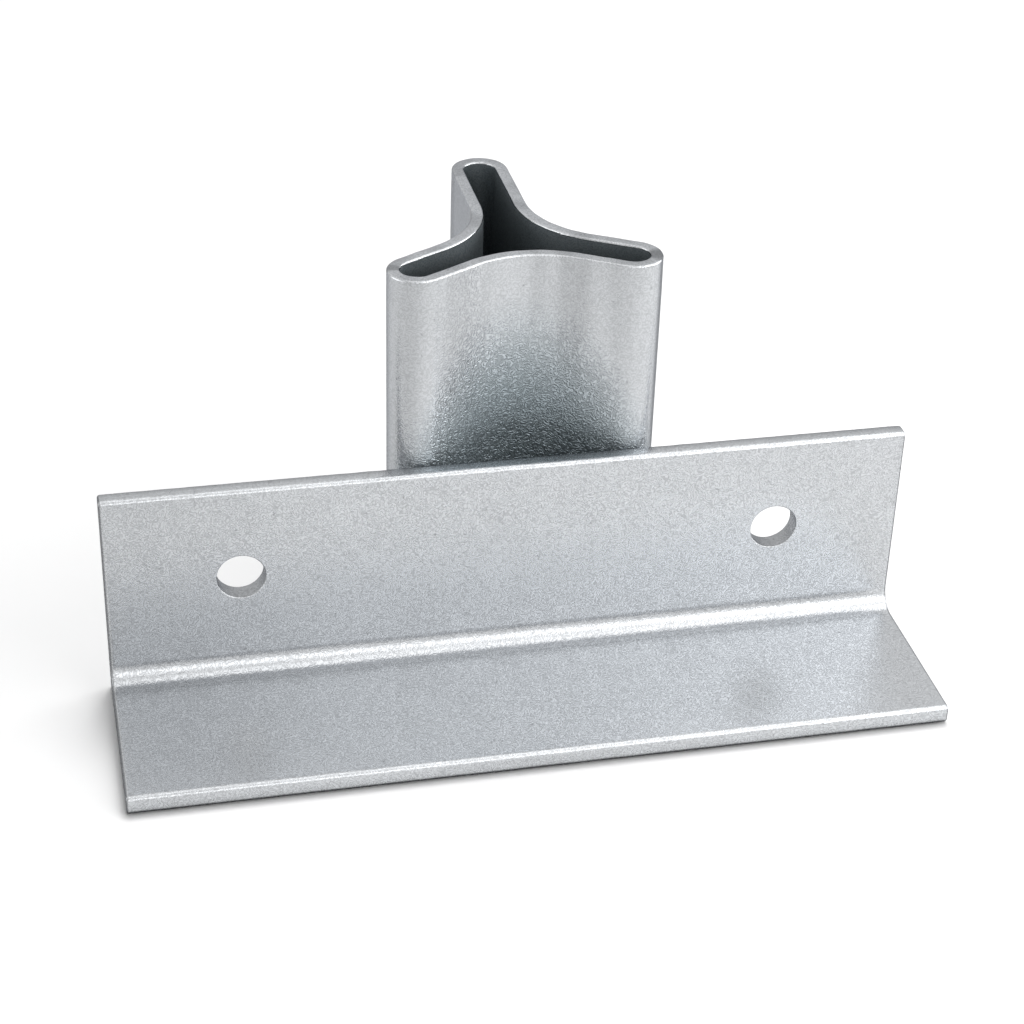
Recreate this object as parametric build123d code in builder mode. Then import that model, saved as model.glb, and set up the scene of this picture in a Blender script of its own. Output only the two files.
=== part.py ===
from build123d import *
from math import acos, cos, radians, sin
import os

# Slide-on stake bracket: a steel angle with a three-lobed sleeve welded upright behind it.
# Millimetres. The origin is the middle of the angle's underside, X runs along the angle,
# Y points back towards the sleeve and Z is up.

# Angle
angle_length = 186.0
upright_height = 52.0
flat_width = 48.0
leg_thickness = 4.6
root_radius = 4.8
toe_radius = 1.4
corner_radius = 1.2
cut_edge_radius = 0.7

# Bolt holes in the upright leg
hole_diameter = 11.0
hole_pitch = 125.0
hole_height = 29.5
hole_edge_radius = 0.3
radius_match = 0.001

# Sleeve for a Y-section stake
slot_width = 7.5
sleeve_wall = 3.0
rear_arm_length = 37.0
front_arm_length = 28.0
front_arm_spread = 120.0
notch_radius = 22.0
sleeve_height = 97.5
sleeve_offset = 3.5
rim_radius = 0.6

# Welds between the sleeve's front lobes and the back of the upright leg
weld_size = 4.5
weld_spread = 2.2
weld_crown = 0.5
weld_root_gap = 0.4
weld_start = 6.0
weld_stop = 10.0

# Places that follow from the sizes
angle_back = flat_width / 2
angle_front = -flat_width / 2
lobe_radius = slot_width / 2 + sleeve_wall
front_arm_angles = [270 - front_arm_spread / 2, 270 + front_arm_spread / 2]
lobe_depth = front_arm_length * cos(radians(front_arm_spread / 2))
lobe_side = front_arm_length * sin(radians(front_arm_spread / 2))
sleeve_centre = Vector(sleeve_offset, angle_back + lobe_depth + lobe_radius)


def three_arm_outline(arm_radius, corner_round):
    """Three slots that meet at the stake's axis, with the notches between them rounded out."""
    with BuildSketch() as outline:
        with PolarLocations(rear_arm_length / 2, 1, start_angle=90):
            SlotCenterToCenter(rear_arm_length, 2 * arm_radius)
        for arm_angle in front_arm_angles:
            with PolarLocations(front_arm_length / 2, 1, start_angle=arm_angle):
                SlotCenterToCenter(front_arm_length, 2 * arm_radius)
        notches = outline.vertices().sort_by_distance((0, 0))[:3]
        fillet(notches, radius=corner_round)
    return outline.sketch


# Mounting angle
with BuildPart() as mounting_angle:
    with BuildSketch(Plane.YZ.offset(-angle_length / 2)) as section:
        with Locations((angle_front, 0)):
            Rectangle(flat_width, leg_thickness, align=(Align.MIN, Align.MIN))
        with Locations((angle_back - leg_thickness, 0)):
            Rectangle(leg_thickness, upright_height, align=(Align.MIN, Align.MIN))
        inner_corner = section.vertices().sort_by_distance((angle_back - leg_thickness, leg_thickness))[0]
        fillet(inner_corner, radius=root_radius)
        toes = [
            section.vertices().sort_by_distance((angle_front, leg_thickness))[0],
            section.vertices().sort_by_distance((angle_back - leg_thickness, upright_height))[0],
        ]
        fillet(toes, radius=min(toe_radius, leg_thickness - 2 * corner_radius))
        outer_corners = [
            section.vertices().sort_by_distance((angle_front, 0))[0],
            section.vertices().sort_by_distance((angle_back, upright_height))[0],
            section.vertices().sort_by_distance((angle_back, 0))[0],
        ]
        fillet(outer_corners, radius=corner_radius)
    extrude(amount=angle_length)
    cut_ends = mounting_angle.faces().filter_by(Axis.X)
    fillet(cut_ends.edges(), radius=cut_edge_radius)
    with BuildSketch(Plane.XZ.offset(-angle_back)) as hole_circles:
        with Locations((-hole_pitch / 2, hole_height), (hole_pitch / 2, hole_height)):
            Circle(hole_diameter / 2)
    extrude(amount=leg_thickness, mode=Mode.SUBTRACT)
    bores = mounting_angle.faces().filter_by(GeomType.CYLINDER).filter_by(
        lambda face: abs(face.radius - hole_diameter / 2) < radius_match
    )
    fillet(bores.edges().filter_by(GeomType.CIRCLE), radius=hole_edge_radius)
mounting_angle.part.label = "mounting_angle"

# Stake sleeve
with BuildPart() as stake_sleeve:
    with BuildSketch(Plane(sleeve_centre)) as ring:
        add(three_arm_outline(lobe_radius, notch_radius))
        add(three_arm_outline(slot_width / 2, notch_radius + sleeve_wall), mode=Mode.SUBTRACT)
    extrude(amount=sleeve_height)
    rims = stake_sleeve.faces().filter_by(Axis.Z)
    fillet(rims.edges(), radius=rim_radius)
stake_sleeve.part.label = "stake_sleeve"


def weld_bead(side):
    """A fillet weld in the groove outside one front lobe, the left one for side -1 and the right for 1."""
    lobe_centre = sleeve_centre + Vector(side * lobe_side, -lobe_depth)

    def on_lobe(height):
        """The point of the lobe's outer quarter that stands this far from the back of the leg."""
        turn = acos(1 - height / lobe_radius)
        return lobe_centre + Vector(side * sin(turn), -cos(turn)) * lobe_radius

    lobe_root = on_lobe(weld_root_gap)
    lobe_middle = on_lobe((weld_root_gap + weld_size) / 2)
    lobe_toe = on_lobe(weld_size)
    leg_root = Vector(lobe_root.X, angle_back)
    leg_toe = Vector(lobe_toe.X + side * weld_spread, angle_back)
    outward = Vector(side * weld_size, weld_spread).normalized()
    crown = (leg_toe + lobe_toe) / 2 + outward * weld_crown
    with BuildPart() as bead:
        with BuildSketch(Plane.XY.offset(weld_start)):
            with BuildLine():
                Line(leg_root, leg_toe)
                ThreePointArc(leg_toe, crown, lobe_toe)
                ThreePointArc(lobe_toe, lobe_middle, lobe_root)
                Line(lobe_root, leg_root)
            make_face()
        extrude(amount=upright_height - weld_start - weld_stop)
    return bead.part


with BuildPart() as weld_left:
    add(weld_bead(-1))
weld_left.part.label = "weld_left"

with BuildPart() as weld_right:
    add(weld_bead(1))
weld_right.part.label = "weld_right"

os.makedirs("parts", exist_ok=True)
export_step(mounting_angle.part, "parts/mounting_angle.step")
export_step(stake_sleeve.part, "parts/stake_sleeve.step")
export_step(weld_left.part, "parts/weld_left.step")
export_step(weld_right.part, "parts/weld_right.step")
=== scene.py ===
"""A slide-on stake bracket in galvanised steel: a rolled angle with a three-lobed sleeve welded behind it."""

import math

import bmesh
import bpy
from bpy.props import FloatProperty, FloatVectorProperty, PointerProperty
from mathutils import Matrix, Vector, noise


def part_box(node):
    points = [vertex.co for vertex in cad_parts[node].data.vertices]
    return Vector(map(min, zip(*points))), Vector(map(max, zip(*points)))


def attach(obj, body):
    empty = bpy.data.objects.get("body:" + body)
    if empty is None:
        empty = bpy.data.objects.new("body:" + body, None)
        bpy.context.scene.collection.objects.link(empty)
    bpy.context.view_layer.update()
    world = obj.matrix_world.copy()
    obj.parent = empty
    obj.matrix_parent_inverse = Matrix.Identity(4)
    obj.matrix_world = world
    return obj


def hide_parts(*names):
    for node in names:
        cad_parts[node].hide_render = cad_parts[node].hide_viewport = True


bl_info = {
    "name": "Slide-on Stake Bracket",
    "version": (1, 0, 0),
    "blender": (4, 5, 0),
    "location": "View3D > Sidebar > Bracket",
    "description": "Builds a galvanised angle with a three-lobed stake sleeve, and a studio to show it in",
    "category": "Object",
}

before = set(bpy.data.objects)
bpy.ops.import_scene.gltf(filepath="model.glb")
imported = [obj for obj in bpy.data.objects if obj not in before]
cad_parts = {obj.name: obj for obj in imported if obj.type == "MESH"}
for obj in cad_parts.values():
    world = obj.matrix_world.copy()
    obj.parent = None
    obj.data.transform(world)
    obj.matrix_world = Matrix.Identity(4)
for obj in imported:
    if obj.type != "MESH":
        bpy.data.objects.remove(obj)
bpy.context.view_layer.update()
ANGLE_LOW, ANGLE_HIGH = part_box("mounting_angle")
SLEEVE_LOW, SLEEVE_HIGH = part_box("stake_sleeve")

X_AXIS = Vector((1, 0, 0))
Y_AXIS = Vector((0, 1, 0))
Z_AXIS = Vector((0, 0, 1))
MM = 0.001

# Vertices closer than this are one
MERGE = 1e-7
# A wider distance, for what lies on the same plane or circle and for where two outlines meet
NEAR = 10 * MERGE


def length(name, description, default):
    """A size of the object, in metres."""
    return FloatProperty(name=name, description=description, default=default, min=0.0, precision=5,
                         subtype="DISTANCE", unit="LENGTH")


def colour(name, description, default):
    """A colour, as linear red, green and blue."""
    return FloatVectorProperty(name=name, description=description, default=default, size=3, min=0.0, max=1.0,
                               subtype="COLOR")


class AngleSettings(bpy.types.PropertyGroup):
    """Sizes of the rolled angle."""

    thickness: length("Leg thickness", "Thickness of both legs", 4.6 * MM)
    root_radius: length("Root radius", "Fillet in the inner corner between the legs", 4.8 * MM)
    toe_radius: length("Toe radius", "Rounding of the inner edge at the end of each leg", 1.4 * MM)
    corner_radius: length("Corner radius", "Rounding of the three outer corners of the section", 1.2 * MM)
    cut_radius: length("Cut edge radius", "Rounding of the edges of the two cut ends", 0.7 * MM)
    hole_diameter: length("Hole diameter", "Diameter of the bolt holes", 11.0 * MM)
    hole_pitch: length("Hole pitch", "Distance between the bolt holes", 125.0 * MM)
    hole_height: length("Hole height", "Height of the bolt holes above the underside", 29.5 * MM)
    hole_edge: length("Hole edge", "Rounding of the rims of the bolt holes", 0.3 * MM)


class SleeveSettings(bpy.types.PropertyGroup):
    """Sizes of the three-lobed sleeve."""

    slot_width: length("Slot width", "Clear width of each arm of the bore", 7.5 * MM)
    wall: length("Wall", "Thickness of the sleeve's wall", 3.0 * MM)
    rear_arm: length("Rear arm", "From the stake's axis to the centre of the rear lobe", 37.0 * MM)
    front_arm: length("Front arms", "From the stake's axis to the centre of each front lobe", 28.0 * MM)
    notch_radius: length("Notch radius", "Radius of the hollows between the lobes, outside", 22.0 * MM)
    rim_radius: length("Rim radius", "Rounding of the edges of both ends", 0.6 * MM)


class WeldSettings(bpy.types.PropertyGroup):
    """Sizes of the fillet welds."""

    ripple_pitch: length("Ripple pitch", "Distance from one ripple of the bead to the next", 1.7 * MM)
    ripple_depth: length("Ripple depth", "Height of the ripples", 0.16 * MM)


class ZincSettings(bpy.types.PropertyGroup):
    """The hot-dip galvanised finish."""

    pale: colour("Pale zinc", "Colour of the brighter patches of zinc", (0.618, 0.634, 0.653))
    dull: colour("Dull zinc", "Colour of the duller patches of zinc", (0.434, 0.445, 0.458))
    # The bore's colour is a painted shade: the inside of the sleeve is drawn darker than the zinc outside
    bore: colour("Bore", "Colour of the dark skin inside the sleeve", (0.28, 0.315, 0.335))
    grain: length("Grain size", "Size of the worm-like grain of the zinc", 0.88 * MM)
    relief: length("Relief", "Height of the grain's ridges", 0.016 * MM)


class StageSettings(bpy.types.PropertyGroup):
    """The studio."""

    backdrop: colour("Backdrop", "Colour of the backdrop and of the floor", (1.0, 1.0, 1.0))
    focal_length: FloatProperty(name="Focal length", description="Focal length on a sensor 36 mm wide",
                                default=81.687, min=1.0, subtype="DISTANCE_CAMERA", unit="CAMERA")


# Mesh building


def heading(degrees):
    """The level direction that stands this far to the left of the X axis."""
    return Vector((math.cos(math.radians(degrees)), math.sin(math.radians(degrees)), 0))


def drawn_outline(bm, start, direction, normal, moves):
    """Draws a closed outline from straight runs and arcs, and returns its edges.

    The moves are ("run", length, pieces) and ("arc", radius, degrees, pieces). A positive turn goes to the
    left, seen from the normal's side.
    """
    known = set(bm.edges)
    first = bm.verts.new(start)
    vert = first
    direction = direction.copy()
    for kind, size, *rest in moves:
        if kind == "run":
            pieces = rest[0]
            for _ in range(pieces):
                vert = bmesh.ops.extrude_vert_indiv(bm, verts=[vert])["verts"][0]
                bmesh.ops.translate(bm, verts=[vert], vec=direction * (size / pieces))
        else:
            degrees, pieces = rest
            turn = math.radians(degrees)
            centre = vert.co + normal.cross(direction) * math.copysign(size, turn)
            made = bmesh.ops.spin(bm, geom=[vert], cent=centre, axis=normal, dvec=(0, 0, 0), angle=turn,
                                  steps=pieces, use_merge=False, use_normal_flip=False, use_duplicate=False)
            vert = [e for e in made["geom_last"] if isinstance(e, bmesh.types.BMVert)][0]
            direction.rotate(Matrix.Rotation(turn, 3, normal))
    bmesh.ops.remove_doubles(bm, verts=[vert, first], dist=NEAR)
    return [edge for edge in bm.edges if edge not in known]


def swept(bm, edges, step, steps):
    """Extrudes an outline in equal steps and returns the edges of the far end."""
    for _ in range(steps):
        made = bmesh.ops.extrude_edge_only(bm, edges=edges)["geom"]
        edges = [e for e in made if isinstance(e, bmesh.types.BMEdge) and not e.link_faces[1:]]
        moved = list({v for e in edges for v in e.verts})
        bmesh.ops.translate(bm, verts=moved, vec=step)
    return edges


def closed_ends(bm):
    """Closes a swept outline with a face at each end, and returns the edges of those faces."""
    ends = [e for e in bm.edges if len(e.link_faces) == 1]
    bmesh.ops.holes_fill(bm, edges=ends, sides=0)
    bmesh.ops.recalc_face_normals(bm, faces=bm.faces)
    return ends


def rounded(bm, edges, radius, segments):
    """Rounds edges with a bevel."""
    bmesh.ops.bevel(bm, geom=edges, offset=radius, offset_type="OFFSET", profile_type="SUPERELLIPSE",
                    segments=segments, profile=0.5, affect="EDGES", clamp_overlap=False, material=-1,
                    loop_slide=True)


def ripple(bm, verts, amount, size, seed):
    """Sinks vertices along their normals by a smooth noise, by no more than the amount."""
    bm.normal_update()
    offset = Vector((seed, 2.3 * seed, -1.7 * seed))
    moves = [(v, v.normal * (noise.noise(v.co / size + offset) - 1) / 2 * amount) for v in verts]
    for vert, move in moves:
        vert.co += move


def finished_piece(bm, name, body, replaced, materials):
    """Turns a finished bmesh into a smooth piece that rides with the bracket and stands for CAD nodes."""
    bmesh.ops.remove_doubles(bm, verts=bm.verts, dist=MERGE)
    bmesh.ops.recalc_face_normals(bm, faces=bm.faces)
    mesh = bpy.data.meshes.new(name)
    bm.to_mesh(mesh)
    bm.free()
    mesh.shade_smooth()
    piece = bpy.data.objects.new(name, mesh)
    bpy.context.scene.collection.objects.link(piece)
    for material in materials:
        mesh.materials.append(material)
    weighted = piece.modifiers.new("Flat faces stay flat", "WEIGHTED_NORMAL")
    weighted.mode = "FACE_AREA_WITH_ANGLE"
    weighted.weight = 50
    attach(piece, body)
    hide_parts(*replaced)


# Shader nodes


def plug(tree, value, socket):
    """Feeds a socket from another socket, or sets it to a value."""
    if isinstance(value, bpy.types.NodeSocket):
        tree.links.new(value, socket)
    else:
        socket.default_value = value


def math_node(tree, operation, *values):
    """A Math node fed by sockets or numbers; returns its output."""
    node = tree.nodes.new("ShaderNodeMath")
    node.operation = operation
    for socket, value in zip(node.inputs, values):
        plug(tree, value, socket)
    return node.outputs[0]


def vector_math(tree, operation, *values):
    """A Vector Math node fed by sockets or vectors; returns its output, a number where it gives one."""
    node = tree.nodes.new("ShaderNodeVectorMath")
    node.operation = operation
    for socket, value in zip(node.inputs, values):
        plug(tree, value, socket)
    return node.outputs["Value" if operation in ("LENGTH", "DOT_PRODUCT") else "Vector"]


def coordinate(tree, place, axis):
    """One coordinate of a place."""
    split = tree.nodes.new("ShaderNodeSeparateXYZ")
    tree.links.new(place, split.inputs[0])
    return split.outputs[axis]


def strongest(tree, values):
    """The highest of several values."""
    best = values[0]
    for value in values[1:]:
        best = math_node(tree, "MAXIMUM", best, value)
    return best


def ranged(tree, value, low, high, to_low=0.0, to_high=1.0):
    """A value mapped smoothly from one range to another."""
    node = tree.nodes.new("ShaderNodeMapRange")
    node.interpolation_type = "SMOOTHSTEP"
    tree.links.new(value, node.inputs["Value"])
    for label, number in zip(("From Min", "From Max", "To Min", "To Max"), (low, high, to_low, to_high)):
        node.inputs[label].default_value = number
    return node.outputs["Result"]


def noise_node(tree, vector, scale, detail, roughness=0.5, distortion=0.0):
    """A Noise Texture; the scale may be a socket."""
    node = tree.nodes.new("ShaderNodeTexNoise")
    tree.links.new(vector, node.inputs["Vector"])
    plug(tree, scale, node.inputs["Scale"])
    node.inputs["Detail"].default_value = detail
    node.inputs["Roughness"].default_value = roughness
    node.inputs["Distortion"].default_value = distortion
    return node.outputs["Fac"]


def mixed_colour(tree, blend, factor, first, second):
    """Two colours blended by a factor."""
    node = tree.nodes.new("ShaderNodeMix")
    node.data_type = "RGBA"
    node.blend_type = blend
    plug(tree, factor, node.inputs["Factor"])
    plug(tree, first, node.inputs["A"])
    plug(tree, second, node.inputs["B"])
    return node.outputs["Result"]


def socketed_group(name, inputs, outputs):
    """A new shader node group with named sockets, and its input and output nodes."""
    tree = bpy.data.node_groups.new(name, "ShaderNodeTree")
    for label, kind, default in inputs:
        socket = tree.interface.new_socket(name=label, in_out="INPUT", socket_type=kind)
        if default is not None:
            socket.default_value = default
    for label, kind in outputs:
        tree.interface.new_socket(name=label, in_out="OUTPUT", socket_type=kind)
    return tree, tree.nodes.new("NodeGroupInput"), tree.nodes.new("NodeGroupOutput")


def placed_group(tree, name, maker, inputs):
    """Places a shared node group, which is made the first time that a material needs it."""
    node = tree.nodes.new("ShaderNodeGroup")
    node.node_tree = bpy.data.node_groups.get(name) or maker(name)
    for label, value in inputs.items():
        plug(tree, value, node.inputs[label])
    return node


# Materials

# The worm-like ridges are a sine of a noise: this is the sine's angle, in radians, where the noise is 1
WORM_WAVES = 22.0
# A slower swell lies under the ridges: its noise's scale and its height, as shares of the ridges' own
SWELL_SCALE = 0.6
SWELL_HEIGHT = 0.8
# The pits' noise has this share of the ridges' scale; a pit starts and is deepest at these values of it
PIT_SCALE = 0.7
PIT_RANGE = (0.66, 0.78)
# Share of the light that a full pit loses
PIT_DARKENING = 0.3
# Faint patches of paler and duller zinc: noise per metre, and their share in the tone
PATCHES_PER_METRE = 170.0
PATCH_SHARE = 0.35
# How much rougher the dullest zinc is than the palest
ROUGHNESS_SPREAD = 0.10
# Tint of the metal where it is seen at a grazing angle
GRAZING_TINT = (0.45, 0.46, 0.48, 1.0)
# What the full patch of painted shade adds to the relief, as a multiple of it, and to the metallic share,
# contrast and roughness
SHADE_PATCH_RELIEF = 7.0
SHADE_PATCH_METALLIC = -0.5
SHADE_PATCH_CONTRAST = 0.9
SHADE_PATCH_ROUGHNESS = 0.16
# The full patch multiplies the colour by this, a painted shade
SHADE_PATCH_TINT = (0.84, 0.95, 0.99, 1.0)


def zinc_grain_group(name):
    """Short worm-like ridges and fine pits of a zinc coat, as a height in ridges and as masks."""
    tree, given, put = socketed_group(
        name,
        [("Vector", "NodeSocketVector", None), ("Grains Per Metre", "NodeSocketFloat", 1400.0),
         ("Pits", "NodeSocketFloat", 0.5)],
        [("Height", "NodeSocketFloat"), ("Ridges", "NodeSocketFloat"), ("Pit Mask", "NodeSocketFloat")])
    per_metre = given.outputs["Grains Per Metre"]
    vector = given.outputs["Vector"]
    worm_noise = noise_node(tree, vector, per_metre, detail=0.0, distortion=0.4)
    wave = math_node(tree, "SINE", math_node(tree, "MULTIPLY", worm_noise, WORM_WAVES))
    ridges = math_node(tree, "MULTIPLY_ADD", wave, 0.5, 0.5)
    swell = noise_node(tree, vector, math_node(tree, "MULTIPLY", per_metre, SWELL_SCALE), detail=1.0)
    height = math_node(tree, "MULTIPLY_ADD", swell, SWELL_HEIGHT, ridges)
    pit_scale = math_node(tree, "MULTIPLY", per_metre, PIT_SCALE)
    pit_noise = noise_node(tree, vector, pit_scale, detail=2.0, roughness=0.6, distortion=0.4)
    pits = ranged(tree, pit_noise, *PIT_RANGE)
    height = math_node(tree, "SUBTRACT", height, math_node(tree, "MULTIPLY", pits, given.outputs["Pits"]))
    tree.links.new(height, put.inputs["Height"])
    tree.links.new(ridges, put.inputs["Ridges"])
    tree.links.new(pits, put.inputs["Pit Mask"])
    return tree


def zinc_tone_group(name):
    """Paler ridges and faint patches of paler and duller zinc, as a colour and a roughness."""
    tree, given, put = socketed_group(
        name,
        [("Vector", "NodeSocketVector", None), ("Pale", "NodeSocketColor", None),
         ("Dull", "NodeSocketColor", None), ("Ridges", "NodeSocketFloat", 0.5),
         ("Pit Mask", "NodeSocketFloat", 0.0), ("Stain And Shade", "NodeSocketFloat", 0.0),
         ("Contrast", "NodeSocketFloat", 0.85), ("Base Roughness", "NodeSocketFloat", 0.22)],
        [("Color", "NodeSocketColor"), ("Roughness", "NodeSocketFloat")])
    patches = noise_node(tree, given.outputs["Vector"], PATCHES_PER_METRE, detail=3.0, roughness=0.6,
                         distortion=0.5)
    valley = math_node(tree, "SUBTRACT", 0.5, given.outputs["Ridges"])
    dullness = math_node(tree, "MULTIPLY_ADD", valley, given.outputs["Contrast"], 0.5)
    off_middle = math_node(tree, "SUBTRACT", patches, 0.5)
    dullness = math_node(tree, "MULTIPLY_ADD", off_middle, PATCH_SHARE, dullness)
    zinc = mixed_colour(tree, "MIX", dullness, given.outputs["Pale"], given.outputs["Dull"])
    # The pits darken the colour, and so does the stain input, which carries stains and painted shade
    in_pits = math_node(tree, "MULTIPLY", given.outputs["Pit Mask"], PIT_DARKENING)
    light = math_node(tree, "MULTIPLY", math_node(tree, "SUBTRACT", 1.0, in_pits),
                      math_node(tree, "SUBTRACT", 1.0, given.outputs["Stain And Shade"]))
    darkened = tree.nodes.new("ShaderNodeVectorMath")
    darkened.operation = "SCALE"
    tree.links.new(zinc, darkened.inputs[0])
    tree.links.new(light, darkened.inputs["Scale"])
    tree.links.new(darkened.outputs["Vector"], put.inputs["Color"])
    rougher = math_node(tree, "SUBTRACT", dullness, 0.5)
    rough = math_node(tree, "MULTIPLY_ADD", rougher, ROUGHNESS_SPREAD, given.outputs["Base Roughness"])
    tree.links.new(rough, put.inputs["Roughness"])
    return tree


def zinc_material(name, zinc, roughness, contrast, pits=0.5, colours=None, stain_and_shade=None, shade_patch=None):
    """Galvanised steel, in the zinc's own pale and dull colours or in two others.

    Two functions add nodes: the first gives the share of light that the zinc loses to stains and painted
    shade, and the second the strength of a patch of painted shade that is also rougher and less metallic,
    with a deeper grain.
    """
    material = bpy.data.materials.new(name)
    material.use_nodes = True
    tree = material.node_tree
    shader = tree.nodes["Principled BSDF"]
    shader.inputs["Specular Tint"].default_value = GRAZING_TINT
    place = tree.nodes.new("ShaderNodeTexCoord").outputs["Object"]
    in_shade_patch = shade_patch(tree, place) if shade_patch else None

    def with_shade_patch(value, gain):
        """The value, and the gain added where the patch of painted shade is full."""
        return math_node(tree, "MULTIPLY_ADD", in_shade_patch, gain, value) if shade_patch else value

    grain = placed_group(tree, "Zinc grain", zinc_grain_group, {
        "Vector": place,
        "Grains Per Metre": 1.0 / zinc.grain,
        "Pits": pits,
    })
    pale, dull = colours or (zinc.pale, zinc.dull)
    tone = placed_group(tree, "Zinc tone", zinc_tone_group, {
        "Vector": place,
        "Pale": (*pale, 1.0),
        "Dull": (*dull, 1.0),
        "Ridges": grain.outputs["Ridges"],
        "Pit Mask": grain.outputs["Pit Mask"],
        "Stain And Shade": stain_and_shade(tree, place) if stain_and_shade else 0.0,
        "Contrast": with_shade_patch(contrast, SHADE_PATCH_CONTRAST),
        "Base Roughness": roughness,
    })
    bump = tree.nodes.new("ShaderNodeBump")
    bump.inputs["Strength"].default_value = 1.0
    plug(tree, with_shade_patch(zinc.relief, SHADE_PATCH_RELIEF * zinc.relief), bump.inputs["Distance"])
    tree.links.new(grain.outputs["Height"], bump.inputs["Height"])
    tree.links.new(bump.outputs["Normal"], shader.inputs["Normal"])
    skin = tone.outputs["Color"]
    shader.inputs["Metallic"].default_value = 1.0
    # The patch paints shade into the colour and makes the zinc less metallic
    if shade_patch:
        skin = mixed_colour(tree, "MULTIPLY", in_shade_patch, skin, SHADE_PATCH_TINT)
        tree.links.new(with_shade_patch(1.0, SHADE_PATCH_METALLIC), shader.inputs["Metallic"])
    tree.links.new(skin, shader.inputs["Base Color"])
    tree.links.new(with_shade_patch(tone.outputs["Roughness"], SHADE_PATCH_ROUGHNESS), shader.inputs["Roughness"])
    return material


# Operators


class BRACKET_OT_angle(bpy.types.Operator):
    """Build the rolled angle with its two bolt holes"""

    bl_idname = "bracket.angle"
    bl_label = "Mounting angle"

    # Pieces in each rounding of the section, and the length of one piece along the angle
    CORNER_PIECES = 5
    TOE_PIECES = 9
    ROOT_PIECES = 16
    COLUMN = MM

    # Half the side of the square that is opened round each bolt hole
    HALF_SQUARE = 9.5 * MM
    # Edges within this multiple of it are the square's own
    SQUARE_MARGIN = 1.01

    # Painted shade, as the share of its light that the zinc loses
    CUT_END_SHADE = 0.60
    TOP_EDGE_SHADE = 0.36
    UNDERSIDE_SHADE = 0.75
    LEFT_END_SHADE = 0.09
    BOLT_HOLE_SHADE = 0.35

    # Places where a painted shade starts and where it is full
    CUT_END_FADE = (ANGLE_HIGH.x - 0.7 * MM, ANGLE_HIGH.x - 0.3 * MM)
    TOP_FADE = (ANGLE_HIGH.z - 1.3 * MM, ANGLE_HIGH.z - 0.3 * MM)
    BACK_FADE = (ANGLE_HIGH.y - 3.4 * MM, ANGLE_HIGH.y - 0.5 * MM)
    UNDERSIDE_FADE = (1.4 * MM, 0.6 * MM)
    LEFT_END_FADE = (-30 * MM, ANGLE_LOW.x)
    # How far outside a bolt hole its painted shade starts
    BOLT_HOLE_FADE = 0.25 * MM
    # A face whose normal has more than this along Y lies square to it
    SQUARE_TO_Y = 0.999

    def execute(self, context):
        sizes = context.scene.bracket_angle
        upright, flat = ANGLE_HIGH.z - ANGLE_LOW.z, ANGLE_HIGH.y - ANGLE_LOW.y
        thick = sizes.thickness
        root, toe, corner = sizes.root_radius, sizes.toe_radius, sizes.corner_radius
        run = ANGLE_HIGH.x - ANGLE_LOW.x
        bm = bmesh.new()
        moves = [
            ("run", flat - 2 * corner, 1),
            ("arc", corner, 90, self.CORNER_PIECES),
            ("run", upright - 2 * corner, 1),
            ("arc", corner, 90, self.CORNER_PIECES),
            ("run", thick - corner - toe, 1),
            ("arc", toe, 90, self.TOE_PIECES),
            ("run", upright - toe - thick - root, 1),
            ("arc", root, -90, self.ROOT_PIECES),
            ("run", flat - toe - thick - root, 1),
            ("arc", toe, 90, self.TOE_PIECES),
            ("run", thick - corner - toe, 1),
            ("arc", corner, 90, self.CORNER_PIECES),
        ]
        start = Vector((ANGLE_LOW.x, ANGLE_LOW.y + corner, ANGLE_LOW.z))
        outline = drawn_outline(bm, start, Y_AXIS, X_AXIS, moves)
        columns = round(run / self.COLUMN)
        swept(bm, outline, X_AXIS * run / columns, columns)
        rounded(bm, closed_ends(bm), sizes.cut_radius, segments=5)
        self.cut_holes(bm, sizes, ANGLE_HIGH.y - thick, ANGLE_HIGH.y)
        mill_edges = [v for v in bm.verts if self.near_toe(v.co, thick + toe)]
        ripple(bm, mill_edges, amount=0.10 * MM, size=3.5 * MM, seed=4.0)
        steel = zinc_material("Galvanised angle", context.scene.bracket_zinc, roughness=0.26, contrast=0.85,
                              stain_and_shade=self.painted_edge_shade)
        finished_piece(bm, "angle_body", "root", ["mounting_angle"], [steel])
        return {"FINISHED"}

    def painted_edge_shade(self, tree, place):
        """Painted shade on the cut ends, top edge and lower edges, in the bolt holes and towards the left."""
        sizes = bpy.context.scene.bracket_angle
        across = coordinate(tree, place, "X")
        along = math_node(tree, "ABSOLUTE", across)
        up = coordinate(tree, place, "Z")
        cut_ends = ranged(tree, along, *self.CUT_END_FADE, 0.0, self.CUT_END_SHADE)
        to_top = ranged(tree, up, *self.TOP_FADE)
        to_back = ranged(tree, coordinate(tree, place, "Y"), *self.BACK_FADE, 0.0, self.TOP_EDGE_SHADE)
        top = math_node(tree, "MULTIPLY", to_top, to_back)
        # Painted contact shade along the underside, and painted shade towards the left end
        underside = ranged(tree, up, *self.UNDERSIDE_FADE, 0.0, self.UNDERSIDE_SHADE)
        left = ranged(tree, across, *self.LEFT_END_FADE, 0.0, self.LEFT_END_SHADE)
        off_hole = tree.nodes.new("ShaderNodeCombineXYZ")
        tree.links.new(math_node(tree, "SUBTRACT", along, sizes.hole_pitch / 2), off_hole.inputs["X"])
        tree.links.new(math_node(tree, "SUBTRACT", up, sizes.hole_height), off_hole.inputs["Y"])
        away = vector_math(tree, "LENGTH", off_hole.outputs[0])
        radius = sizes.hole_diameter / 2
        bolt_holes = ranged(tree, away, radius + self.BOLT_HOLE_FADE, radius, 0.0, self.BOLT_HOLE_SHADE)
        return strongest(tree, [cut_ends, top, underside, left, bolt_holes])

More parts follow.
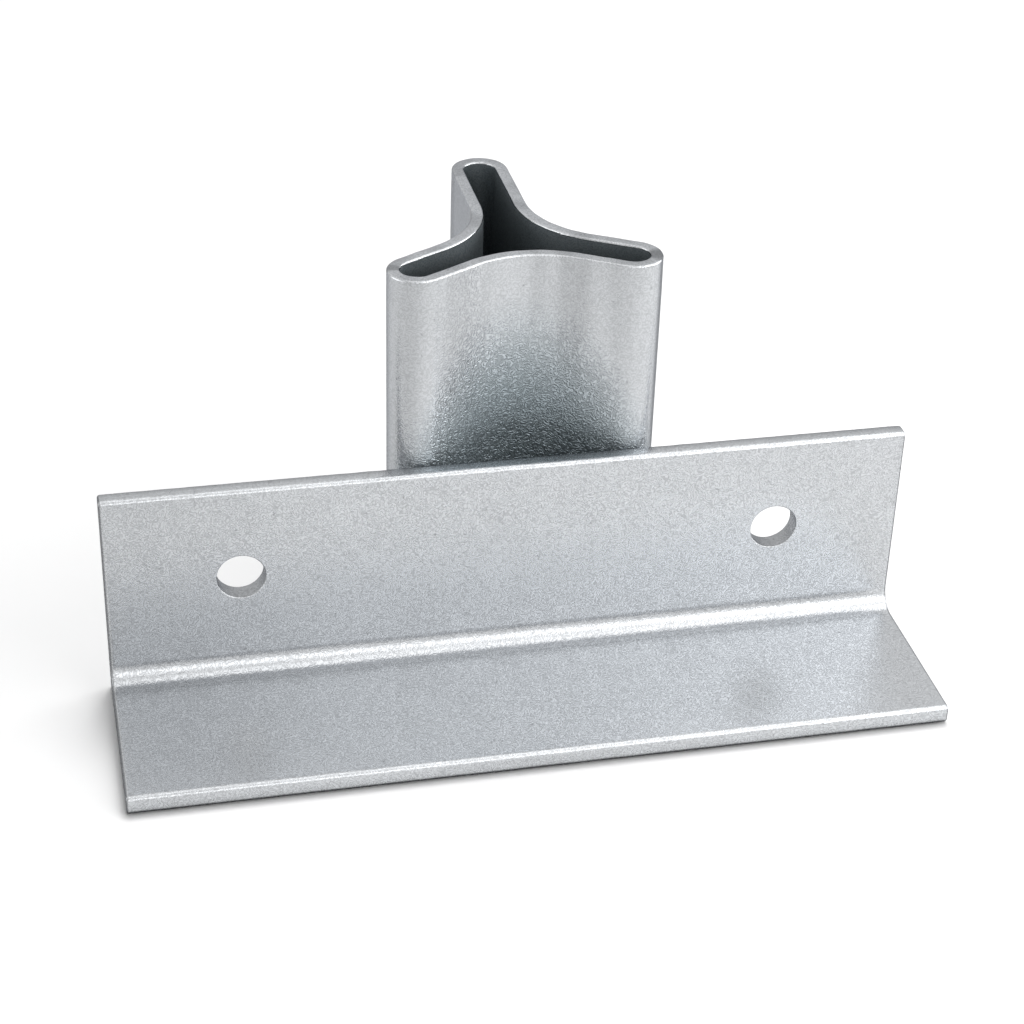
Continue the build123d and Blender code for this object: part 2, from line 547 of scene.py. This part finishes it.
    @staticmethod
    def near_toe(place, reach):
        """True for the rounded edges at the end of either leg."""
        flat_toe = place.y < ANGLE_LOW.y + reach and place.z < reach
        return flat_toe or place.z > ANGLE_HIGH.z - reach

    @staticmethod
    def even_angle(across, up):
        """Spreads the points of a square's border evenly round a circle, by their place on the square."""
        if abs(across) > abs(up):
            return (0.0 if across > 0 else math.pi) + math.pi / 4 * up / across
        return (math.pi / 2 if up > 0 else -math.pi / 2) - math.pi / 4 * across / up

    def cut_holes(self, bm, sizes, leg_front, leg_back):
        """Opens the two bolt holes through the upright leg and rounds their rims."""
        radius = sizes.hole_diameter / 2
        for height in (sizes.hole_height - self.HALF_SQUARE, sizes.hole_height + self.HALF_SQUARE):
            upright = [f for f in bm.faces if abs(f.normal.y) > self.SQUARE_TO_Y]
            edges = {e for f in upright for e in f.edges}
            verts = {v for f in upright for v in f.verts}
            geom = upright + list(edges) + list(verts)
            bmesh.ops.bisect_plane(bm, geom=geom, dist=MERGE, plane_co=(0, 0, height), plane_no=Z_AXIS)
        for side in (-1, 1):
            centre = Vector((side * sizes.hole_pitch / 2, 0, sizes.hole_height))
            rims = [self.open_disc(bm, centre + Y_AXIS * depth, radius) for depth in (leg_front, leg_back)]
            inner = swept(bm, rims[0], Y_AXIS * (leg_back - leg_front), 1)
            meeting = {v for e in inner + rims[1] for v in e.verts}
            bmesh.ops.remove_doubles(bm, verts=list(meeting), dist=NEAR)
            edges = [e for e in bm.edges if self.on_rim(e, centre, radius, (leg_front, leg_back))]
            rounded(bm, edges, sizes.hole_edge, segments=3)

    def open_disc(self, bm, centre, radius):
        """Cuts a square out of a flat side and closes it up to a circle; returns the circle's edges."""
        half = self.HALF_SQUARE

        def inside(place, reach):
            """True for a place on this side that is within reach of the centre, level and upright."""
            away = place - centre
            return abs(away.y) < NEAR and max(abs(away.x), abs(away.z)) < reach

        def border():
            """The open edges round the square."""
            middles = ((e, (e.verts[0].co + e.verts[1].co) / 2) for e in bm.edges if e.is_boundary)
            return [e for e, middle in middles if inside(middle, self.SQUARE_MARGIN * half)]

        square = [f for f in bm.faces if inside(f.calc_center_median(), half)]
        bmesh.ops.delete(bm, geom=square, context="FACES")
        uprights = [e for e in border() if e.calc_length() > 2 * self.COLUMN]
        bmesh.ops.subdivide_edges(bm, edges=uprights, cuts=round(2 * half / self.COLUMN) - 1)
        rim = swept(bm, border(), Vector((0, 0, 0)), 1)
        for vert in {v for e in rim for v in e.verts}:
            away = vert.co - centre
            angle = self.even_angle(away.x, away.z)
            vert.co = centre + Vector((math.cos(angle), 0, math.sin(angle))) * radius
        return rim

    @staticmethod
    def on_rim(edge, centre, radius, depths):
        """True for an edge of the circle where a hole meets either side of the leg."""
        ends = [v.co - centre for v in edge.verts]
        on_circle = all(abs(math.hypot(p.x, p.z) - radius) < NEAR for p in ends)
        return on_circle and any(all(abs(p.y - depth) < NEAR for p in ends) for depth in depths)


class BRACKET_OT_sleeve(bpy.types.Operator):
    """Build the three-lobed sleeve that slides over the stake"""

    bl_idname = "bracket.sleeve"
    bl_label = "Stake sleeve"

    # Heading of the first arm that the outline follows, in degrees, and half the angle between two arms
    FIRST_ARM = -30
    HALF_SPREAD = math.radians(60)

    # Pieces in each straight run, lobe and notch of the outline, and steps up the sleeve
    RUN_PIECES = 16
    LOBE_PIECES = 28
    NOTCH_PIECES = 24
    STEPS = 12

    # The bore's duller tone, as a share of its own colour
    BORE_DULL = 0.7

    # Painted shade on the outer flanks of the front lobes: degrees of the lobe, degrees that the shade faces,
    # the cosine of the turn away from there where the shade starts, and its amount
    BEND_SHADES = [(-30, -13, 0.78, 0.50), (210, 167, 0.94, 0.40)]
    # The cosine where they are full
    BEND_FULL = 0.99

    # Upright streaks: how the noise is drawn out, its scale, its range and the stain's range
    STREAK_STRETCH = (1, 1, 0.04)
    STREAKS_PER_METRE = 120.0
    STREAK_RANGE = (0.40, 0.66)
    STREAK_STAIN = (0.02, 0.22)

    # The patch of painted shade low in the hollow, also rougher and less metallic: how fast its edge falls to
    # either side, the heights where it starts and is full, and the same for the Y of the surface's normal
    SHADE_PATCH_BOW = 0.036 / MM
    SHADE_PATCH_HEIGHTS = (92 * MM, 56 * MM)
    SHADE_PATCH_FACING = (-0.35, -0.75)
    # Its painted shade in the colour, from the lower to the upper height
    PAINTED_SHADE_HEIGHTS = (54 * MM, 64 * MM)
    PAINTED_SHADE_AMOUNTS = (0.30, 0.28)

    def outline(self, bm, sizes, centre, arm_radius, notch_radius):
        """One closed three-lobed outline round the stake's axis."""
        tangent = (arm_radius + notch_radius) / math.tan(self.HALF_SPREAD)
        moves = []
        for reach in (sizes.front_arm, sizes.rear_arm, sizes.front_arm):
            moves += [
                ("run", reach - tangent, self.RUN_PIECES),
                ("arc", arm_radius, 180, self.LOBE_PIECES),
                ("run", reach - tangent, self.RUN_PIECES),
                ("arc", notch_radius, -60, self.NOTCH_PIECES),
            ]
        along = heading(self.FIRST_ARM)
        right = along.cross(Z_AXIS)
        start = centre + along * tangent + right * arm_radius
        return drawn_outline(bm, start, along, Z_AXIS, moves)

    def execute(self, context):
        sizes = context.scene.bracket_sleeve
        zinc = context.scene.bracket_zinc
        lobe = sizes.slot_width / 2 + sizes.wall
        depth = sizes.front_arm * math.cos(self.HALF_SPREAD)
        centre = Vector(((SLEEVE_LOW.x + SLEEVE_HIGH.x) / 2, SLEEVE_LOW.y + lobe + depth, SLEEVE_LOW.z))
        height = SLEEVE_HIGH.z - SLEEVE_LOW.z
        step = Z_AXIS * height / self.STEPS
        bm = bmesh.new()
        outer = self.outline(bm, sizes, centre, lobe, sizes.notch_radius)
        inner = self.outline(bm, sizes, centre, sizes.slot_width / 2, sizes.notch_radius + sizes.wall)
        inner_top = swept(bm, inner, step, self.STEPS)
        bmesh.ops.reverse_faces(bm, faces=bm.faces)
        # The inner walls take the bore's painted shade
        for face in bm.faces:
            face.material_index = 1
        outer_top = swept(bm, outer, step, self.STEPS)
        bmesh.ops.bridge_loops(bm, edges=outer + inner)
        bmesh.ops.bridge_loops(bm, edges=outer_top + inner_top)
        bmesh.ops.recalc_face_normals(bm, faces=bm.faces)
        rounded(bm, outer + inner + outer_top + inner_top, sizes.rim_radius, segments=4)
        rim = [v for v in bm.verts if v.co.z > height - 2 * sizes.rim_radius]
        ripple(bm, rim, amount=0.12 * MM, size=2.6 * MM, seed=9.0)
        # The outer zinc goes over the rim and down nearly all of its inner rounding; below it, the bore's
        # painted shade
        for face in bm.faces:
            if face.calc_center_median().z > height - 0.9 * sizes.rim_radius:
                face.material_index = 0
        steel = zinc_material("Galvanised sleeve", zinc, roughness=0.20, contrast=0.60,
                              stain_and_shade=lambda tree, place: self.painted_shade_and_streaks(tree, place, centre, sizes.front_arm),
                              shade_patch=lambda tree, place: self.hollow_shade_patch(tree, place, centre))
        # The bore: zinc in a painted shade, and rougher
        dark = zinc_material("Bore with painted shade", zinc, roughness=0.50, contrast=0.85, pits=0.6,
                             colours=(zinc.bore, [c * self.BORE_DULL for c in zinc.bore]))
        finished_piece(bm, "sleeve_body", "root", ["stake_sleeve"], [steel, dark])
        return {"FINISHED"}

    def hollow_shade_patch(self, tree, place, centre):
        """A patch of painted shade low in the hollow that faces the leg, highest in its middle."""
        aside = math_node(tree, "SUBTRACT", coordinate(tree, place, "X"), centre.x)
        bowed = math_node(tree, "MULTIPLY", math_node(tree, "MULTIPLY", aside, aside), self.SHADE_PATCH_BOW)
        height = math_node(tree, "ADD", coordinate(tree, place, "Z"), bowed)
        facing = coordinate(tree, tree.nodes.new("ShaderNodeTexCoord").outputs["Normal"], "Y")
        in_front = ranged(tree, facing, *self.SHADE_PATCH_FACING)
        return math_node(tree, "MULTIPLY", ranged(tree, height, *self.SHADE_PATCH_HEIGHTS), in_front)

    def painted_shade_and_streaks(self, tree, place, centre, front_arm):
        """Painted shade on the flanks of the front lobes and low in the hollow towards the leg, and faint
        streaks.
        """
        shades_and_streaks = []
        for degrees, towards, starts, amount in self.BEND_SHADES:
            from_lobe = vector_math(tree, "SUBTRACT", place, centre + heading(degrees) * front_arm)
            outward = vector_math(tree, "NORMALIZE", vector_math(tree, "MULTIPLY", from_lobe, (1, 1, 0)))
            facing = vector_math(tree, "DOT_PRODUCT", outward, heading(towards))
            shades_and_streaks.append(ranged(tree, facing, starts, self.BEND_FULL, 0.0, amount))
        drawn_out = vector_math(tree, "MULTIPLY", place, self.STREAK_STRETCH)
        streaks = noise_node(tree, drawn_out, self.STREAKS_PER_METRE, detail=1.0)
        shades_and_streaks.append(ranged(tree, streaks, *self.STREAK_RANGE, *self.STREAK_STAIN))
        low = ranged(tree, coordinate(tree, place, "Z"), *self.PAINTED_SHADE_HEIGHTS, *self.PAINTED_SHADE_AMOUNTS)
        shades_and_streaks.append(math_node(tree, "MULTIPLY", self.hollow_shade_patch(tree, place, centre), low))
        return strongest(tree, shades_and_streaks)


class BRACKET_OT_welds(bpy.types.Operator):
    """Build the fillet welds between the sleeve and the upright leg"""

    bl_idname = "bracket.welds"
    bl_label = "Welds"

    # The bead's section: where it starts on the lobe, how far it sinks into the lobe, and its crown
    ROOT_GAP = 0.4 * MM
    LOBE_SINK = 0.05 * MM
    CROWN_HEIGHT = 0.5 * MM
    CROWN_PIECES = 9
    STEP = 0.2 * MM

    # The ripples bow in the middle of the bead, wander by a share of a pitch and fade towards the root
    RIPPLE_BOW = 1.3 * MM
    RIPPLE_WANDER = 0.12
    WANDER_SIZE = 3 * MM
    ROOT_FADE = 1.5 * MM

    # The ends are rounded over this height, less what is left flat, and shrink by this share
    END_ROUNDING = 1.8 * MM
    END_FLAT = 0.35 * MM
    END_SHRINK = 0.8

    def execute(self, context):
        sleeve = context.scene.bracket_sleeve
        skin = zinc_material("Weld zinc", context.scene.bracket_zinc, roughness=0.30, contrast=0.85, pits=0.6)
        lobe_radius = sleeve.slot_width / 2 + sleeve.wall
        for side, node in ((-1, "weld_left"), (1, "weld_right")):
            low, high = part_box(node)
            self.bead(node, side, low, high, lobe_radius, context.scene.bracket_welds, skin)
        return {"FINISHED"}

    def bead(self, node, side, low, high, lobe_radius, sizes, skin):
        """One rippled bead in the groove between a lobe and the leg."""
        size = high.y - low.y
        root_x = low.x if side > 0 else high.x
        toe_x = high.x if side > 0 else low.x
        lobe_x = root_x - side * math.sqrt(lobe_radius ** 2 - (lobe_radius - self.ROOT_GAP) ** 2)
        lobe_centre = Vector((lobe_x, low.y + lobe_radius, 0))
        lower = math.acos(1 - self.ROOT_GAP / lobe_radius)
        upper = math.acos(1 - size / lobe_radius)
        reach = lobe_radius - self.LOBE_SINK
        lobe_side = [lobe_centre + Vector((side * math.sin(turn), -math.cos(turn), 0)) * reach
                     for turn in (lower, (lower + upper) / 2, upper)]
        leg_side = [Vector((root_x, low.y, 0)), Vector((toe_x, low.y, 0))]
        leg_toe, lobe_toe = leg_side[1], lobe_side[2]
        face = lobe_toe - leg_toe
        outward = Vector((side * face.y, abs(face.x), 0)).normalized()
        shares = [i / self.CROWN_PIECES for i in range(1, self.CROWN_PIECES)]
        crown = [leg_toe.lerp(lobe_toe, share) + outward * self.CROWN_HEIGHT * math.sin(math.pi * share)
                 for share in shares]
        bm = bmesh.new()
        verts = [bm.verts.new(p + Z_AXIS * low.z) for p in leg_side + crown + lobe_side[::-1]]
        edges = [bm.edges.new((a, b)) for a, b in zip(verts, verts[1:] + verts[:1])]
        steps = round((high.z - low.z) / self.STEP)
        swept(bm, edges, Z_AXIS * (high.z - low.z) / steps, steps)
        closed_ends(bm)
        root = (lobe_side[0] + leg_side[0]) / 2
        for vert in bm.verts:
            away = (vert.co - root) * Vector((1, 1, 0))
            share = (vert.co - leg_toe).dot(face) / face.length_squared
            bow = 1 - min(1.0, abs(2 * share - 1)) ** 2
            wander = self.RIPPLE_WANDER * noise.noise(vert.co / self.WANDER_SIZE)
            phase = (vert.co.z + self.RIPPLE_BOW * bow) / sizes.ripple_pitch + wander
            wave = 0.5 - 0.5 * math.cos(2 * math.pi * phase)
            to_end = min(vert.co.z - low.z, high.z - vert.co.z)
            end = min(1.0, (to_end + self.END_FLAT) / self.END_ROUNDING)
            shrink = 1 - math.sqrt(max(0.0, 1 - (1 - end) ** 2))
            inset = self.END_SHRINK * shrink + wave * sizes.ripple_depth / size
            vert.co -= away * inset * min(1.0, away.length / self.ROOT_FADE)
        finished_piece(bm, node + "_bead", "root", [node], [skin])


class BRACKET_OT_stage(bpy.types.Operator):
    """Build the white studio with its lamps and the camera"""

    bl_idname = "bracket.stage"
    bl_label = "Stage"

    # Name, degrees above the floor, degrees round to the right of the front, width, height, watts
    LAMPS = [
        ("Front right", 31, 45, 0.64, 0.38, 1.92),
        ("Front", 31, 0, 0.64, 0.38, 0.84),
        ("Right", 31, 90, 0.64, 0.38, 0.44),
        ("Left", 31, 270, 0.64, 0.38, 0.40),
        ("Front right high", 56, 45, 0.48, 0.42, 0.42),
        ("Right high", 56, 90, 0.48, 0.42, 0.89),
        ("Right low", 9, 90, 0.72, 0.32, 4.40),
        ("Left low", 9, 270, 0.72, 0.32, 1.20),
        ("Overhead", 85, 0, 0.60, 0.60, 0.80),
    ]
    # Lamps behind the bracket that its metal doesn't reflect. They light the floor, and the shadow falls
    # forwards.
    FLOOR_LAMPS = [
        ("Floor back", 60, 180, 0.90, 0.90, 17.50),
        ("Floor back right", 65, 135, 0.90, 0.90, 14.50),
    ]
    # How far the lamps stand from the place that they face, in metres
    LAMP_DISTANCE = 0.9
    FLOOR_LAMP_DISTANCE = 1.9
    LAMP_AIM = Vector((0.0, 0.03, 0.04))

    # The floor's radius and whiteness, and the distances where the backdrop starts to cover it and covers it
    FLOOR_RADIUS = 4.0
    FLOOR_WHITENESS = 0.92
    FLOOR_FADE = (0.30, 0.75)

    # The camera's place, its right-hand side and the way it looks
    CAMERA_PLACE = Vector((-0.103073, -0.418086, 0.317326))
    CAMERA_RIGHT = Vector((0.97694, -0.21185, 0.02677))
    CAMERA_LOOK = Vector((0.19409, 0.8287, -0.52497))
    SENSOR_WIDTH = 36.0
    CLIP_START, CLIP_END = 0.01, 20.0

    def execute(self, context):
        sizes = context.scene.bracket_stage
        self.floor(context, sizes)
        self.sky(context, sizes)
        for row in self.LAMPS:
            self.lamp(context, *row, self.LAMP_DISTANCE)
        for row in self.FLOOR_LAMPS:
            self.lamp(context, *row, self.FLOOR_LAMP_DISTANCE).visible_glossy = False
        self.camera(context, sizes)
        context.scene.view_settings.view_transform = "Standard"
        return {"FINISHED"}

    def lamp(self, context, name, rise, bearing, width, height, watts, distance):
        """A rectangular lamp that faces the bracket."""
        data = bpy.data.lights.new(name, "AREA")
        data.shape = "RECTANGLE"
        data.size, data.size_y, data.energy = width, height, watts
        lamp = bpy.data.objects.new(name, data)
        context.scene.collection.objects.link(lamp)
        away = Vector((0, -math.cos(math.radians(rise)), math.sin(math.radians(rise))))
        away.rotate(Matrix.Rotation(math.radians(bearing), 3, Z_AXIS))
        lamp.location = self.LAMP_AIM + away * distance
        lamp.rotation_mode = "QUATERNION"
        lamp.rotation_quaternion = away.to_track_quat("Z", "Y")
        lamp.visible_camera = False
        return lamp

    @staticmethod
    def seen_rays(tree):
        """1 for rays that show the backdrop: those of the camera, of reflections and of glass."""
        path = tree.nodes.new("ShaderNodeLightPath")
        kinds = ("Is Camera Ray", "Is Glossy Ray", "Is Transmission Ray")
        return strongest(tree, [path.outputs[kind] for kind in kinds])

    def floor(self, context, sizes):
        """A white floor that keeps the bracket's shadow and passes into the backdrop farther out."""
        bm = bmesh.new()
        bmesh.ops.create_circle(bm, cap_ends=True, segments=64, radius=self.FLOOR_RADIUS)
        mesh = bpy.data.meshes.new("floor_sweep")
        bm.to_mesh(mesh)
        bm.free()
        floor = bpy.data.objects.new("floor_sweep", mesh)
        context.scene.collection.objects.link(floor)
        material = bpy.data.materials.new("White floor")
        material.use_nodes = True
        tree = material.node_tree
        matt = tree.nodes["Principled BSDF"]
        matt.inputs["Base Color"].default_value = (*[self.FLOOR_WHITENESS * c for c in sizes.backdrop], 1.0)
        matt.inputs["Roughness"].default_value = 1.0
        matt.inputs["Specular IOR Level"].default_value = 0.0
        glow = tree.nodes.new("ShaderNodeEmission")
        glow.inputs["Color"].default_value = (*sizes.backdrop, 1.0)
        place = tree.nodes.new("ShaderNodeTexCoord").outputs["Object"]
        covered = ranged(tree, vector_math(tree, "LENGTH", place), *self.FLOOR_FADE)
        mix = tree.nodes.new("ShaderNodeMixShader")
        tree.links.new(math_node(tree, "MULTIPLY", covered, self.seen_rays(tree)), mix.inputs["Fac"])
        tree.links.new(matt.outputs["BSDF"], mix.inputs[1])
        tree.links.new(glow.outputs["Emission"], mix.inputs[2])
        tree.links.new(mix.outputs["Shader"], tree.nodes["Material Output"].inputs["Surface"])
        mesh.materials.append(material)

    def sky(self, context, sizes):
        """A white backdrop all round, which the bracket reflects and which leaves the floor to the lamps."""
        world = bpy.data.worlds.new("White studio")
        context.scene.world = world
        world.use_nodes = True
        tree = world.node_tree
        backdrop = tree.nodes["Background"]
        backdrop.inputs["Color"].default_value = (*sizes.backdrop, 1.0)
        tree.links.new(self.seen_rays(tree), backdrop.inputs["Strength"])

    def camera(self, context, sizes):
        """The camera at the photograph's viewpoint."""
        data = bpy.data.cameras.new("Viewpoint")
        data.sensor_fit = "HORIZONTAL"
        data.sensor_width = self.SENSOR_WIDTH
        data.lens = sizes.focal_length
        data.clip_start, data.clip_end = self.CLIP_START, self.CLIP_END
        camera = bpy.data.objects.new("Viewpoint", data)
        context.scene.collection.objects.link(camera)
        right = self.CAMERA_RIGHT.normalized()
        look = (self.CAMERA_LOOK - right * self.CAMERA_LOOK.dot(right)).normalized()
        up = right.cross(look)
        turn = Matrix((right, up, -look)).transposed().to_4x4()
        camera.matrix_world = Matrix.Translation(self.CAMERA_PLACE) @ turn
        context.scene.camera = camera


class BRACKET_PT_panel(bpy.types.Panel):
    """The bracket's operators and settings in the sidebar"""

    bl_idname = "BRACKET_PT_panel"
    bl_label = "Stake bracket"
    bl_space_type = "VIEW_3D"
    bl_region_type = "UI"
    bl_category = "Bracket"

    def draw(self, context):
        for operator in BUILDERS:
            self.layout.operator(operator.bl_idname)
        for name in SETTINGS:
            box = self.layout.box()
            settings = getattr(context.scene, name)
            for key in settings.bl_rna.properties.keys():
                if key not in ("rna_type", "name"):
                    box.prop(settings, key)


BUILDERS = (BRACKET_OT_angle, BRACKET_OT_sleeve, BRACKET_OT_welds, BRACKET_OT_stage)
SETTINGS = {
    "bracket_angle": AngleSettings,
    "bracket_sleeve": SleeveSettings,
    "bracket_welds": WeldSettings,
    "bracket_zinc": ZincSettings,
    "bracket_stage": StageSettings,
}


def register():
    """Registers the classes and hangs the settings on the scene."""
    for cls in (*SETTINGS.values(), *BUILDERS, BRACKET_PT_panel):
        bpy.utils.register_class(cls)
    for name, cls in SETTINGS.items():
        setattr(bpy.types.Scene, name, PointerProperty(type=cls))


def unregister():
    """Takes the settings and the classes away again."""
    for name in SETTINGS:
        delattr(bpy.types.Scene, name)
    for cls in reversed((*SETTINGS.values(), *BUILDERS, BRACKET_PT_panel)):
        bpy.utils.unregister_class(cls)


def main():
    """Builds every piece and the stage."""
    register()
    bpy.ops.bracket.angle()
    bpy.ops.bracket.sleeve()
    bpy.ops.bracket.welds()
    bpy.ops.bracket.stage()
    bpy.context.view_layer.update()


if __name__ == "__main__":
    main()
